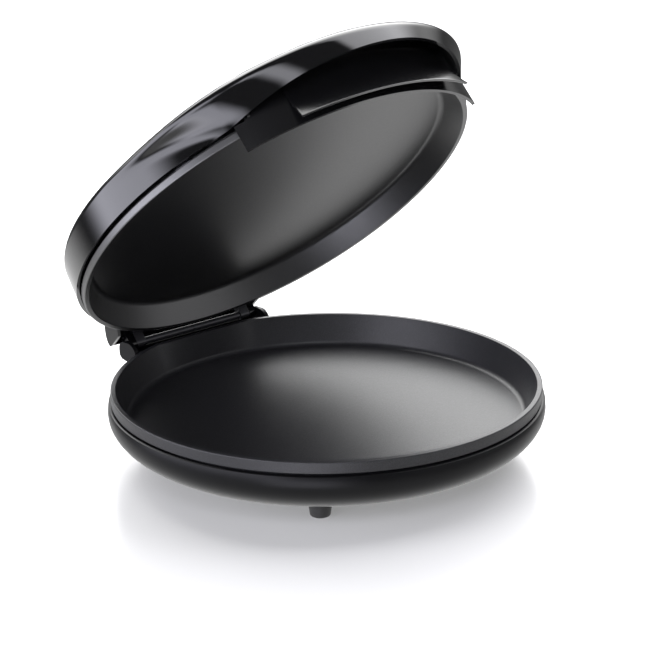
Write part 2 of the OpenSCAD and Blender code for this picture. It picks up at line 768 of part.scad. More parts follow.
module lid_shell() {
    color(black) in_lid() difference() {
        union() {
            difference() {
                union() {
                    rotate_extrude($fn = round_fn) polygon(dome_profile(0));
                    hood_form(0);
                    hinge_cover();
                }
                rotate_extrude($fn = round_fn) polygon(dome_profile(wall));
                hood_form(wall);
                front_sector(recess_half + 0.2, [[lid_r - wall - over, edge_z - over],
                    [steam_out_r + fit, edge_z - over], [steam_out_r + fit, edge_z + recess_cut_h],
                    [lid_r - wall - over, edge_z + recess_cut_h]]);
            }
            for (a = [90, 210, 330]) rotate([0, 0, a]) translate([stop_at_r, 0, plate_back_z + fit])
                cylinder(r = stop_post_r, h = shoulder_z - plate_back_z - fit, $fn = 32);
            at_lenses() translate([0, 0, lens_seat_z])
                cylinder(r = lens_r + 2, h = shoulder_z - lens_seat_z, $fn = 48);
            at_tabs() translate([0, 0, tab_z + tab_t])
                cylinder(r = 4, h = shoulder_z - 1 - tab_z - tab_t, $fn = 32);
            for (a = spring_clip_angles) rotate([0, 0, a - rib_half])
                rotate_extrude(angle = 2 * rib_half, $fn = round_fn) polygon([[rib_in_r, rib_z - rib_h / 4],
                    [rib_in_r, rib_z + rib_h / 2], [lid_r - wall / 2, rib_z + rib_h / 2],
                    [lid_r - wall / 2, rib_z - rib_h]]);
        }
        both_sides() on_hinge(lug_in - over, lug_w + 2 * over, pin_d / 2 + run);
        at_bracket_screws()
            cylinder(r = bracket_screw_r + run, h = bracket_screw_len + screw_end_gap, $fn = 32);
        at_lenses() translate([0, 0, lens_seat_z - over]) cylinder(r = lens_r + run, h = 30, $fn = 48);
        at_tabs() translate([0, 0, tab_z])
            cylinder(r = tab_screw_r + run, h = tab_t + tab_screw_in + screw_end_gap, $fn = 24);
    }
}

// ---------------------------------------------------------------- guards

steam_r = housing_r;
steam_out_r = steam_r + guard_t;
recess_top_z = shoulder_z - wall - 1.1;
cheek_t = 2;
recess_half = acos((pow(steam_out_r, 2) + pow(lip_shift, 2) - pow(lip_r - wall - 2 * fit, 2))
    / (2 * steam_out_r * lip_shift));

// Two cheeks close the ends of the recess. Each follows the inside of the hood at its angle, where
// reach() gives the distance to a circle of radius r that is centred forward by shift.
cheek_at = recess_half - 1;
function reach(r, shift) = shift * cos(cheek_at) + sqrt(r * r - pow(shift * sin(cheek_at), 2));
cheek_lip_r = reach(lip_r - wall, lip_shift) - 2 * fit;
cheek_lip_z = edge_z + (cheek_lip_r * cos(cheek_at) + lip_end_y) * tan(lip_tilt) + 2 * fit;

// Below the shell's edge it shields the handle from steam. Above it, between two cheeks, it is
// the back of the finger recess.
module steam_guard() {
    color(black) in_lid() difference() {
        union() {
            difference() {
                front_sector(steam_half, [[steam_r, guard_z], [steam_out_r, guard_z],
                    [steam_out_r, recess_top_z], [steam_r, recess_top_z]]);
                both_sides() rotate([0, 0, recess_half - 90])
                    rotate_extrude(angle = steam_half - recess_half + 2, $fn = round_fn)
                        translate([steam_r - over, edge_z - fit]) square([guard_t + 2 * over, shoulder_z]);
            }
            both_sides() rotate([0, 0, cheek_at - 90]) rotate([90, 0, 0]) linear_extrude(cheek_t)
                polygon([[steam_r + 0.5, edge_z], [cheek_lip_r, cheek_lip_z],
                    [reach(hood_r - wall, hood_shift) - 2 * fit, hood_edge_z - wall],
                    [reach(hood_r - deck_in - wall, hood_shift) - 2 * fit, recess_top_z - 0.3],
                    [steam_r + 0.5, recess_top_z - 0.3]]);
            at_tabs() translate([-tab_w / 2, -tab_w / 2, tab_z])
                cube([steam_r - tab_at_r + tab_w / 2 + 0.5, tab_w, tab_t]);
        }
        at_tabs() translate([0, 0, tab_z - over])
            cylinder(r = tab_screw_r + fit, h = tab_t + 2 * over, $fn = 24);
        at_flange_screws(steam_r - over)
            cylinder(r = flange_screw_r + fit, h = guard_t + 2 * over, $fn = 24);
    }
}

module steam_guard_screws() {
    color(steel) in_lid() at_tabs() {
        translate([0, 0, tab_z - 2]) cylinder(r = 3, h = 2, $fn = 32);
        translate([0, 0, tab_z - 0.1]) cylinder(r = tab_screw_r, h = tab_t + tab_screw_in + 0.1, $fn = 24);
    }
}

// The handle guard's flange lies on the steam guard and is screwed to it from behind
flange_r = steam_out_r + 0.1;
flange_h = 10;
flange_low_z = edge_z + 5;
flange_screw_r = 1.2;
flange_screw_in = 1.7;
flange_head_r = 2.4;
flange_head_h = 1.4;
flare_steps = 8;

module at_flange_screws(r) {
    for (a = handle_half * [-2, 0, 2] / 3)
        rotate([0, 0, a - 90]) translate([r, 0, flange_low_z + flange_h / 2]) rotate([0, 90, 0]) children();
}

// Flares outward and down from the flange to the lip, inset by t
function flare(t) = [for (i = [0:flare_steps]) let (u = i / flare_steps)
    [flange_r + guard_t - t + flare_out * pow(u, 1.35), flange_low_z - (flange_low_z - guard_z) * u]];

module handle_guard() {
    flange_top_z = flange_low_z + flange_h;
    color(black) in_lid() difference() {
        front_sector(handle_half, concat([[flange_r, flange_top_z], [flange_r + guard_t, flange_top_z]],
            flare(0), [for (i = [flare_steps:-1:0]) flare(guard_t)[i]]));
        at_flange_screws(flange_r - over)
            cylinder(r = flange_screw_r + run, h = over + flange_screw_in + run, $fn = 24);
    }
}

// The heads are flat, so they stay clear of the guard's hollow side
module handle_guard_screws() {
    color(steel) in_lid() {
        at_flange_screws(steam_r - flange_head_h - run)
            cylinder(r = flange_head_r, h = flange_head_h, $fn = 32);
        at_flange_screws(steam_r - 2 * run)
            cylinder(r = flange_screw_r, h = guard_t + flange_screw_in + 2 * run, $fn = 24);
    }
}

// ---------------------------------------------------------------- lid fittings

clip_rivet_r = 0.9;
clip_rivet_in = 1.8;
spring_clip_w = 12;
spring_t = 0.6;
rivet_at_r = (plate_neck_r + pan_r) / 2;

module at_spring_clips() {
    for (a = spring_clip_angles) rotate([0, 0, a]) translate([rivet_at_r, 0, 0]) children();
}

// Spring clips riveted on the plate's band, hooked over ribs inside the shell
module plate_spring_clips() {
    color(steel) in_lid() at_spring_clips() {
        translate([-1.2, -spring_clip_w / 2, band_top_z]) cube([2.4, spring_clip_w, spring_t]);
        translate([-1.2, -spring_clip_w / 2, band_top_z])
            cube([spring_t, spring_clip_w, rib_z + rib_h / 2 + fit + spring_t - band_top_z]);
        translate([-1.2, -spring_clip_w / 2, rib_z + rib_h / 2 + fit]) cube([2, spring_clip_w, spring_t]);
        translate([0, 0, band_top_z - clip_rivet_in])
            cylinder(r = clip_rivet_r, h = clip_rivet_in + 2 * spring_t, $fn = 24);
    }
}

lens_base = 1.2;
lens_tall = 8.3;
lamp_r = 2.8;
lamp_h = 7;

module lens(side) {
    translate([side * lens_x, lens_y, 0]) {
        translate([0, 0, lens_seat_z - lens_base])
            cylinder(r = lens_r + lens_flange, h = lens_base, $fn = 48);
        translate([0, 0, lens_seat_z - lens_base / 2]) cylinder(r = lens_r, h = lens_tall, $fn = 48);
    }
}

module lamp(side) {
    translate([side * lens_x, lens_y, lens_seat_z - lens_base - lamp_h])
        cylinder(r = lamp_r, h = lamp_h, $fn = 32);
}

module power_lens() {
    color("red") in_lid() lens(-1);
}

module ready_lens() {
    color("green") in_lid() lens(1);
}

module power_lamp() {
    color(cream) in_lid() lamp(-1);
}

module ready_lamp() {
    color(cream) in_lid() lamp(1);
}

base_housing();
base_feet();
foot_screws();
lower_pan();
lower_element();
lower_element_clips();
lower_shield();
lower_shield_screws();
lower_thermostat();
thermal_fuse();
terminal_block();
cord_inlet_bush();
hinge_brackets();
bracket_screws();
hinge_tube_left();
hinge_tube_right();
hinge_pin();
lid_shell();
handle_guard();
handle_guard_screws();
steam_guard();
steam_guard_screws();
upper_plate();
plate_spring_clips();
upper_element();
upper_element_clips();
upper_shield();
upper_shield_screws();
upper_thermostat();
power_lens();
ready_lens();
power_lamp();
ready_lamp();
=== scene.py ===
"""Electric pizza maker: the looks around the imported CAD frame."""

import bisect
import math
from collections import namedtuple

import bmesh
import bpy
from mathutils import Matrix, Vector
from mathutils.bvhtree import BVHTree


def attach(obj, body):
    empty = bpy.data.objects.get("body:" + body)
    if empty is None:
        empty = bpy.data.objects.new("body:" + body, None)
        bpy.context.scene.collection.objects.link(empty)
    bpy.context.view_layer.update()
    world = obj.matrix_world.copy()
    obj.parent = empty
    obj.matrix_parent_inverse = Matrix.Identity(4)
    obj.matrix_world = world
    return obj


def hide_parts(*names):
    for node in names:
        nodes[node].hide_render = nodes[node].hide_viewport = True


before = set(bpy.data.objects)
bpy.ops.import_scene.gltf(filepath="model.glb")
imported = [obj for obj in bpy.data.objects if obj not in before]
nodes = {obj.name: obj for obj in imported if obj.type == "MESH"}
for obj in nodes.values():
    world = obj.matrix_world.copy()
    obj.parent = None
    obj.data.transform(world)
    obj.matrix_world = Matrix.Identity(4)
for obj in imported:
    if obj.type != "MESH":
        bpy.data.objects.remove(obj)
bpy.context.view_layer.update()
scene = bpy.context.scene

# ------------------------------------------------------------------ sizes, in metres, as in the CAD
# With the lid shut, the axis of the pan and of the lid stands at y = -ORIGIN_Y
ORIGIN_Y = 0.012739
RIM_Z = 0.058
PAN_DEPTH = 0.024
PAN_R = 0.160
RIM_W = 0.004
FLOOR_R = 0.149
CAST = 0.003
BAND_H = 0.0084
BACK_FLAT = 0.153
HINGE_Y = 0.1664 - ORIGIN_Y
HINGE_Z = 0.0573
OPEN = math.radians(45.5)
PLATE_GAP = 0.0008
PLATE_Z = RIM_Z + PLATE_GAP
PLATE_BAND = 0.0053
PLATE_DEPTH = 0.018
LID_GAP = 0.008
EDGE_Z = RIM_Z + LID_GAP
SOFT_EDGE = 0.0005
TINY = 1e-6

# ------------------------------------------------------------------ camera, from the photograph's angle
CAM_AZ = math.radians(40.076)
CAM_EL = math.radians(18.630)
CAM_ROLL = math.radians(-0.843)
CAM_DISTANCE = 1.5
CAM_SIDE = -0.00111
CAM_UP = 0.04163
CAM_LENS = 112.08
SENSOR_W = 36
CLIP_END = 50


def aimed(azimuth, elevation):
    """A unit vector turned from +Y towards +X by azimuth and raised by elevation, both in radians."""
    level = math.cos(elevation)
    return Vector((math.sin(azimuth) * level, math.cos(azimuth) * level, math.sin(elevation)))


def add_camera():
    """The camera, aimed beside the middle of the pan's rim and rolled a little."""
    look = aimed(CAM_AZ, -CAM_EL)
    right = Vector((math.cos(CAM_AZ), -math.sin(CAM_AZ), 0))
    up = right.cross(look)
    place = right * CAM_SIDE + up * CAM_UP - look * CAM_DISTANCE + Vector((0, -ORIGIN_Y, RIM_Z))
    c, s = math.cos(CAM_ROLL), math.sin(CAM_ROLL)
    right, up = right * c + up * s, up * c - right * s
    data = bpy.data.cameras.new("camera")
    data.lens = CAM_LENS
    data.sensor_width = SENSOR_W
    data.clip_end = CLIP_END
    cam = bpy.data.objects.new("camera", data)
    scene.collection.objects.link(cam)
    axes = Matrix((right, up, -look)).transposed().to_4x4()
    cam.matrix_world = Matrix.Translation(place) @ axes
    scene.camera = cam


# ------------------------------------------------------------------ small helpers
NEARLY_STRAIGHT = math.radians(176)
MOST_OF_A_SIDE = 0.45
CORNER_STEPS = 6


def open_lid(mesh):
    """Turns a mesh drawn with the lid shut, in the CAD's own frame, to the lid as it stands at rest."""
    pivot = Vector((0, HINGE_Y, HINGE_Z))
    mesh.transform(Matrix.Translation(pivot) @ Matrix.Rotation(-OPEN, 4, "X") @ Matrix.Translation(-pivot))


def smooth(mesh, angle):
    """Smooth shading that keeps creases sharper than angle, in degrees."""
    limit = math.radians(angle)
    bm = bmesh.new()
    bm.from_mesh(mesh)
    for f in bm.faces:
        f.smooth = True
    for e in bm.edges:
        e.smooth = e.is_manifold and e.calc_face_angle(0) < limit
    bm.to_mesh(mesh)
    bm.free()


def arc(cx, cz, r, a, b, n):
    """Points of an arc in a profile, from angle a to b in degrees, in n steps."""
    turn = [math.radians(a + (b - a) * i / n) for i in range(n + 1)]
    return [(cx + r * math.cos(t), cz + r * math.sin(t)) for t in turn]


def rounded(points):
    """A closed profile with every corner rounded by SOFT_EDGE, or by the radius given third."""
    out = []
    count = len(points)
    for i, p in enumerate(points):
        r = p[2] if len(p) > 2 else SOFT_EDGE
        here = Vector(p[:2])
        before = Vector(points[i - 1][:2]) - here
        after = Vector(points[(i + 1) % count][:2]) - here
        angle = before.angle(after)
        if r <= 0 or angle > NEARLY_STRAIGHT:
            out.append(tuple(here))
            continue
        room = min(before.length * MOST_OF_A_SIDE, after.length * MOST_OF_A_SIDE)
        cut = min(r / math.tan(angle / 2), room)
        start = here + before.normalized() * cut
        end = here + after.normalized() * cut
        for k in range(CORNER_STEPS + 1):
            t = k / CORNER_STEPS
            q = start * (1 - t) ** 2 + here * 2 * t * (1 - t) + end * t * t
            out.append((q.x, q.y))
    return out


def lathe(name, profile, segments, start=0.0, sweep=360.0, clip=None):
    """Turns a closed profile of (r, z) about the plate's axis. clip(r, z, angle) may pull a point in."""
    full = sweep == 360
    bm = bmesh.new()
    rings = []
    turns = segments if full else segments + 1
    for i in range(turns):
        a = math.radians(start + sweep * i / segments)
        ring = []
        for r, z in profile:
            rr = clip(r, z, a) if clip else r
            ring.append(bm.verts.new((rr * math.cos(a), rr * math.sin(a) - ORIGIN_Y, z)))
        rings.append(ring)
    n = len(profile)
    for i in range(segments):
        one, two = rings[i], rings[(i + 1) % turns]
        for k in range(n):
            j = (k + 1) % n
            bm.faces.new((one[k], two[k], two[j], one[j]))
    if not full:
        bm.faces.new(rings[0])
        bm.faces.new(list(reversed(rings[-1])))
    bmesh.ops.remove_doubles(bm, verts=bm.verts, dist=TINY)
    return closed_mesh(name, bm)


def prism(name, outline, low, high, place=Matrix.Identity(4)):
    """A closed prism along X from an outline of (y, z), then put in place."""
    bm = bmesh.new()
    ends = [[bm.verts.new((x, y, z)) for y, z in outline] for x in (low, high)]
    count = len(outline)
    bm.faces.new(ends[0])
    bm.faces.new(list(reversed(ends[1])))
    for k in range(count):
        j = (k + 1) % count
        bm.faces.new((ends[0][k], ends[1][k], ends[1][j], ends[0][j]))
    mesh = closed_mesh(name, bm)
    mesh.transform(place)
    return mesh


def closed_mesh(name, bm):
    """Keeps a closed form as a mesh, with its faces turned outward."""
    bmesh.ops.recalc_face_normals(bm, faces=bm.faces)
    mesh = bpy.data.meshes.new(name)
    bm.to_mesh(mesh)
    bm.free()
    return mesh


def evaluated(mesh, kind, **settings):
    """Runs one modifier on a mesh and keeps the result."""
    obj = bpy.data.objects.new("work", mesh)
    scene.collection.objects.link(obj)
    step = obj.modifiers.new(kind.lower(), kind)
    for key, value in settings.items():
        setattr(step, key, value)
    bpy.context.view_layer.update()
    graph = bpy.context.evaluated_depsgraph_get()
    made = bpy.data.meshes.new_from_object(obj.evaluated_get(graph))
    made.name = mesh.name
    bpy.data.objects.remove(obj)
    return made


def boolean(mesh, tools, operation):
    """Adds or cuts other closed meshes."""
    for other in tools:
        tool = bpy.data.objects.new("tool", other)
        scene.collection.objects.link(tool)
        mesh = evaluated(mesh, "BOOLEAN", object=tool, operation=operation, solver="EXACT")
        bpy.data.objects.remove(tool)
    return mesh


def softened(mesh, segments=2, angle=50):
    """Rounds the edges sharper than angle, in degrees."""
    return evaluated(mesh, "BEVEL", width=SOFT_EDGE, segments=segments, limit_method="ANGLE",
                     angle_limit=math.radians(angle))


def finished(name, mesh, body, material, replaced, angle=35):
    """Puts a mesh in the scene as the piece that stands for a CAD node."""
    smooth(mesh, angle)
    obj = bpy.data.objects.new(name, mesh)
    scene.collection.objects.link(obj)
    obj.data.materials.append(material)
    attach(obj, body)
    weigh = obj.modifiers.new("weighted", "WEIGHTED_NORMAL")
    weigh.keep_sharp = True
    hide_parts(replaced)


# ------------------------------------------------------------------ baking plates
RIM_IN = PAN_R - RIM_W
FLOOR_MID_R = 0.1
CASTING_TURNS = 288
# Radii of the profiles' corners
RIM_IN_EDGE = 0.0007
PAN_RIM_EDGE = 0.0009
PLATE_RIM_EDGE = 0.001
NECK_EDGE = 0.001
UNDER_EDGE = 0.002
PAN_CORNER = 0.0048
PLATE_CORNER = 0.0052
# The pan's slanted underside and inner wall. The flat cut reaches only points at the back, where the
# sine of their angle is over BACK_SINE
UNDER_OUT = 0.0034
UNDER_UP = 0.0024
NECK_H = 0.002
PAN_FLOOR_IN = 0.001
WALL_SLACK = 0.0012
BACK_SINE = 0.5
# The plate's slanted back and inner wall
BACK_OUT = 0.004
PLATE_NECK_IN = 0.0028
PLATE_FLOOR_IN = 0.0019


def make_pan():
    """The lower pan, with its rim cut flat at the back."""
    floor = RIM_Z - PAN_DEPTH
    under = floor - CAST
    band = RIM_Z - BAND_H
    neck = RIM_IN + CAST / 3
    floor_r = FLOOR_R - PAN_FLOOR_IN
    profile = rounded([
        (FLOOR_R + UNDER_OUT, under + UNDER_UP, UNDER_EDGE), (neck, band - NECK_H), (neck, band, 0),
        (PAN_R, band), (PAN_R, RIM_Z, PAN_RIM_EDGE), (RIM_IN, RIM_Z, RIM_IN_EDGE),
        (floor_r, floor, PAN_CORNER), (FLOOR_MID_R, floor, 0), (0, floor, 0), (0, under, 0),
        (FLOOR_R, under, UNDER_EDGE)])

    def clip(r, z, angle):
        wall = floor_r + (RIM_IN - floor_r) * (z - floor) / PAN_DEPTH
        inside = z > floor - TINY and r < wall + WALL_SLACK
        edge = BACK_FLAT - RIM_W if inside else BACK_FLAT
        return min(r, edge / math.sin(angle)) if math.sin(angle) > BACK_SINE else r

    mesh = lathe("pan", profile, CASTING_TURNS, clip=clip)
    finished("lower_pan_casting", mesh, "base", PAN_COAT, "lower_pan")


def make_plate():
    """The upper plate, a shallow dish that faces down when the lid is shut."""
    floor = PLATE_Z + PLATE_DEPTH
    back = floor + CAST
    band = PLATE_Z + PLATE_BAND
    neck = PAN_R - PLATE_NECK_IN
    profile = rounded([
        (0, back, 0), (FLOOR_R, back, UNDER_EDGE), (FLOOR_R + BACK_OUT, floor, UNDER_EDGE),
        (neck, EDGE_Z + SOFT_EDGE, NECK_EDGE), (neck, band, 0), (PAN_R, band),
        (PAN_R, PLATE_Z, PLATE_RIM_EDGE), (RIM_IN, PLATE_Z, RIM_IN_EDGE),
        (FLOOR_R - PLATE_FLOOR_IN, floor, PLATE_CORNER), (FLOOR_MID_R, floor, 0), (0, floor, 0)])
    mesh = lathe("plate", profile, CASTING_TURNS)
    open_lid(mesh)
    finished("upper_plate_casting", mesh, "lid", PLATE_COAT, "upper_plate")


# ------------------------------------------------------------------ lid shell
LID_R = 0.1628
WALL = 0.0025
SHOULDER_R = 0.161
SHOULDER_RISE = 0.0152
SHOULDER_Z = PLATE_Z + PLATE_DEPTH + CAST + SHOULDER_RISE
SHOULDER_ROUND = 0.006
SHOULDER_TURN = 86
CROWN_RISE = 0.009
LIP_R, LIP_SHIFT = 0.119, 0.071
LIP_TILT = math.radians(6.8)
LIP_OUT = 0.0002
LIP_END_R = LID_R + LIP_OUT
LIP_END_Y = (LIP_R ** 2 - LIP_END_R ** 2 - LIP_SHIFT ** 2) / (2 * LIP_SHIFT)
LIP_MID_Z = EDGE_Z + (LIP_SHIFT + LIP_END_Y) * math.tan(LIP_TILT)
LIP_CLEAR = 0.0006
HOOD_R, HOOD_SHIFT = 0.152, 0.0344
HOOD_DROP = 0.006
HOOD_EDGE_Z = SHOULDER_Z - HOOD_DROP
DECK_IN = 0.006
DECK_DROP = 0.0007
DECK_Z = SHOULDER_Z - DECK_DROP
BLEND_R, BLEND_SHIFT = 0.100, 0.020
BLEND_OUT = 0.010
BLEND_SINK = 0.0006
HOOD_BLEND = 0.005
# Rows of the shell's wall, shoulder and crown, its turns, and how often the hood's rise is smoothed
WALL_ROWS, SHOULDER_ROWS, CROWN_ROWS = 18, 14, 34
SHELL_TURNS = 480
SMOOTHINGS = 3


def dome_at(r):
    """Height of the shallow dome over radius r."""
    reach = SHOULDER_R - SHOULDER_ROUND
    ball = (reach ** 2 + CROWN_RISE ** 2) / (2 * CROWN_RISE)
    return SHOULDER_Z + CROWN_RISE - ball + math.sqrt(ball ** 2 - r ** 2)


def dome_rows():
    """The dome's profile as angles and distances seen from the middle of its lower edge."""
    reach = SHOULDER_R - SHOULDER_ROUND
    height = SHOULDER_Z - SHOULDER_ROUND - EDGE_Z
    line = [(LID_R + (SHOULDER_R - LID_R) * t / WALL_ROWS, EDGE_Z + height * t / WALL_ROWS)
            for t in range(WALL_ROWS)]
    line += arc(reach, SHOULDER_Z - SHOULDER_ROUND, SHOULDER_ROUND, 0, SHOULDER_TURN, SHOULDER_ROWS)
    for k in range(1, CROWN_ROWS):
        r = reach * (1 - k / CROWN_ROWS)
        line.append((r, dome_at(r)))
    return [(math.atan2(z - EDGE_Z, r), math.hypot(r, z - EDGE_Z)) for r, z in line]


def between(rows, angle):
    """Distance at an angle between the rows."""
    at = min(max(bisect.bisect(rows, (angle, 0)) - 1, 0), len(rows) - 2)
    (a, p), (b, q) = rows[at], rows[at + 1]
    return p + (q - p) * min((angle - a) / (b - a), 1)


def hood_tree():
    """The hood's outer form, stretched over its lip, its upper edge, its deck and the dome."""
    bm = bmesh.new()
    blend_z = dome_at(BLEND_R + BLEND_OUT) - BLEND_SINK
    hoops = [(LIP_R, LIP_SHIFT, LIP_MID_Z, LIP_TILT), (HOOD_R, HOOD_SHIFT, HOOD_EDGE_Z, 0),
             (HOOD_R - DECK_IN, HOOD_SHIFT, DECK_Z, 0), (BLEND_R, BLEND_SHIFT, blend_z, 0)]
    for r, shift, z, tilt in hoops:
        for degrees in range(360):
            a = math.radians(degrees)
            x, y = r * math.cos(a), r * math.sin(a)
            bm.verts.new((x, y * math.cos(tilt) - shift, z - y * math.sin(tilt)))
    bmesh.ops.convex_hull(bm, input=bm.verts)
    tree = BVHTree.FromBMesh(bm)
    bm.free()
    return tree


def lip_angle(front):
    """How high the shell's lower edge stands, seen from the middle, at an angle from the front."""
    if abs(front) > math.pi / 2:
        return 0
    out = reach_at(front, LIP_R, LIP_SHIFT)
    z = LIP_MID_Z + (out * math.cos(front) - LIP_SHIFT) * math.tan(LIP_TILT)
    return max(math.atan2(z - EDGE_Z, out), 0)


def reach_at(angle, r, shift):
    """Distance from the middle, at an angle from the front, to a circle centred forward by shift."""
    return shift * math.cos(angle) + math.sqrt(r ** 2 - (shift * math.sin(angle)) ** 2)


def ray_at(turn, rise):
    """A unit vector turned from +X by turn and raised by rise, both in radians."""
    level = math.cos(rise)
    return Vector((math.cos(turn) * level, math.sin(turn) * level, math.sin(rise)))


def eased(gain):
    """The hood's rise over the dome, eased in where the two meet."""
    if gain < -HOOD_BLEND:
        return 0
    if gain > HOOD_BLEND:
        return gain
    return (gain + HOOD_BLEND) ** 2 / (4 * HOOD_BLEND)


def smoothed(grid):
    """Each value averaged with its neighbours, up and down a line and then from line to line."""
    last = len(grid[0]) - 1
    count = len(grid)
    grid = [[(line[max(k - 1, 0)] + 2 * line[k] + line[min(k + 1, last)]) / 4 if k else line[0]
             for k in range(last + 1)] for line in grid]
    return [[(grid[i - 1][k] + 2 * grid[i][k] + grid[(i + 1) % count][k]) / 4
             for k in range(last + 1)] for i in range(count)]


def shell_skin():
    """The outer skin: the hood flows out of the dome, seen as distances from the middle."""
    rows = dome_rows()
    tree = hood_tree()
    middle = Vector((0, 0, EDGE_Z))
    turns = [2 * math.pi * i / SHELL_TURNS for i in range(SHELL_TURNS)]
    rises = []
    extras = []
    for turn in turns:
        front = (turn + math.pi / 2 + math.pi) % (2 * math.pi) - math.pi
        low = lip_angle(front)
        angles = [low + a * (math.pi / 2 - low) / (math.pi / 2) for a, _ in rows]
        line = []
        for a in angles:
            hit = tree.ray_cast(middle, ray_at(turn, max(a, low + LIP_CLEAR)))[3] or 0
            line.append(eased(hit - between(rows, a)))
        rises.append(angles)
        extras.append(line)
    for _ in range(SMOOTHINGS):
        extras = smoothed(extras)
    bm = bmesh.new()
    grid = []
    for turn, angles, line in zip(turns, rises, extras):
        ring = []
        for a, extra in zip(angles, line):
            place = ray_at(turn, a) * (between(rows, a) + extra)
            ring.append(bm.verts.new(place + middle - Vector((0, ORIGIN_Y, 0))))
        grid.append(ring)
    top = bm.verts.new((0, -ORIGIN_Y, SHOULDER_Z + CROWN_RISE))
    last = len(rows) - 1
    for i in range(SHELL_TURNS):
        one, two = grid[i], grid[(i + 1) % SHELL_TURNS]
        for k in range(last):
            bm.faces.new((one[k], two[k], two[k + 1], one[k + 1]))
        bm.faces.new((one[last], two[last], top))
    mesh = bpy.data.meshes.new("shell")
    bm.to_mesh(mesh)
    bm.free()
    return mesh


def make_shell():
    """The moulded shell with the hood that is the handle."""
    mesh = evaluated(shell_skin(), "SOLIDIFY", thickness=WALL, offset=-1.0)
    mesh = softened(mesh, segments=3, angle=60)
    open_lid(mesh)
    finished("lid_shell_moulding", mesh, "lid", GLOSS, "lid_shell", angle=45)


# ------------------------------------------------------------------ hinge cover at the back of the lid
# In millimetres, with the outlines as (y, z) from the hinge axis
MM = 0.001
COVER_HALF = 70
COVER_WALL = 2.5
SIDE_GAP = 0.5
EAR_W = 3.5
LUG_W = 6.5
LUG_EDGE = 1
COVER_IN = COVER_HALF - COVER_WALL
LUG_IN = COVER_IN - EAR_W - LUG_W - 2 * SIDE_GAP
COVER_ROOF = 12.5
HOLLOW_LOW = 6.4
HOLLOW_START, HOLLOW_END = -31, 10.5
HOLLOW_TURN = (84, 33)
HOLLOW_STEPS = 14
KNUCKLE_R = 3.7
KNUCKLE_STEPS = 24
PIN_R = 1.56
BORE_STEPS = 32
COVER_OUTLINE = [
    (-30, COVER_ROOF), (-8, COVER_ROOF), (-4.5, 7.4), (10, 7.4), (12.3, 8.2), (12.3, 12.6),
    (10.6, 16.8), (7.8, 21.2), (5.4, 23.6), (2.5, 25.3), (-1, 26.2), (-5, 26.5), (-30, 26.5),
]
# The lid's own wall, which the cover stops at, in metres
HOLE_R = LID_R - 0.0012
HOLE_LOW, HOLE_HIGH = 0.03, 0.1
HOLE_TURNS = 240


def hinge_side(name, outline, low, high):
    """A prism along the hinge axis, from an outline in millimetres round that axis."""
    points = [(HINGE_Y + y * MM, HINGE_Z + z * MM) for y, z in outline]
    return prism(name, points, low * MM, high * MM)


def make_cover():
    """The cover over the hinge, with the two lugs that turn on the pin."""
    hollow = [(HOLLOW_START, HOLLOW_LOW), (HOLLOW_START, COVER_ROOF), (0, COVER_ROOF)]
    hollow += arc(0, 0, COVER_ROOF, *HOLLOW_TURN, HOLLOW_STEPS) + [(HOLLOW_END, HOLLOW_LOW)]
    lug_top = COVER_ROOF + LUG_EDGE
    lug = [(-KNUCKLE_R - LUG_EDGE, lug_top)] + arc(0, 0, KNUCKLE_R, 180, 360, KNUCKLE_STEPS)
    lug += [(KNUCKLE_R - LUG_EDGE, lug_top)]
    bore = arc(0, 0, PIN_R, 0, 360, BORE_STEPS)[:-1]
    hole = [(0, HOLE_LOW), (HOLE_R, HOLE_LOW), (HOLE_R, HOLE_HIGH), (0, HOLE_HIGH)]
    cuts = [hinge_side("hollow", hollow, -COVER_IN, COVER_IN), lathe("hole", hole, HOLE_TURNS)]
    mesh = hinge_side("cover", COVER_OUTLINE, -COVER_HALF, COVER_HALF)
    mesh = boolean(mesh, cuts, "DIFFERENCE")
    sides = [(LUG_IN, LUG_IN + LUG_W), (-LUG_IN - LUG_W, -LUG_IN)]
    mesh = boolean(mesh, [hinge_side("lug", lug, a, b) for a, b in sides], "UNION")
    bores = [hinge_side("bore", bore, a - LUG_EDGE, b + LUG_EDGE) for a, b in sides]
    mesh = boolean(mesh, bores, "DIFFERENCE")
    mesh = softened(mesh, angle=35)
    open_lid(mesh)
    finished("lid_hinge_cover", mesh, "lid", GLOSS, "lid_shell")


# ------------------------------------------------------------------ guards of the handle
GUARD_R = 0.1626
GUARD_T = 0.0023
GUARD_OUT = GUARD_R + GUARD_T
GUARD_DROP = 0.012
GUARD_Z = RIM_Z - GUARD_DROP
GUARD_TURNS = 96
RECESS_CLEAR = 0.0011
RECESS_TOP = SHOULDER_Z - WALL - RECESS_CLEAR
RECESS_UP = 0.01
STEAM_CLEAR = 0.0002
# The cheeks that close the recess: their place, the play to the shell and their thickness
CHEEK_IN = 1
CHEEK_CLEAR = 0.0004
CHEEK_TOP_CLEAR = 0.0003
CHEEK_SINK = 0.0005
CHEEK_T = 0.002
# How far the guards reach to each side of the front, in degrees
STEAM_HALF = 39.7
RECESS_HALF = 36.78
HANDLE_HALF = 25.6
FLANGE_CLEAR = 0.0001
FLANGE_R = GUARD_R + GUARD_T + FLANGE_CLEAR
FLANGE_UP = 0.005
FLANGE_LOW = EDGE_Z + FLANGE_UP
FLANGE_H = 0.010
FLARE_OUT = 0.0092
FLARE_STEPS = 16
FLARE_BEND = 1.35


def sector(name, profile, half):
    """A profile turned over an angle of half to each side of the front."""
    return lathe(name, profile, GUARD_TURNS, -90 - half, 2 * half)


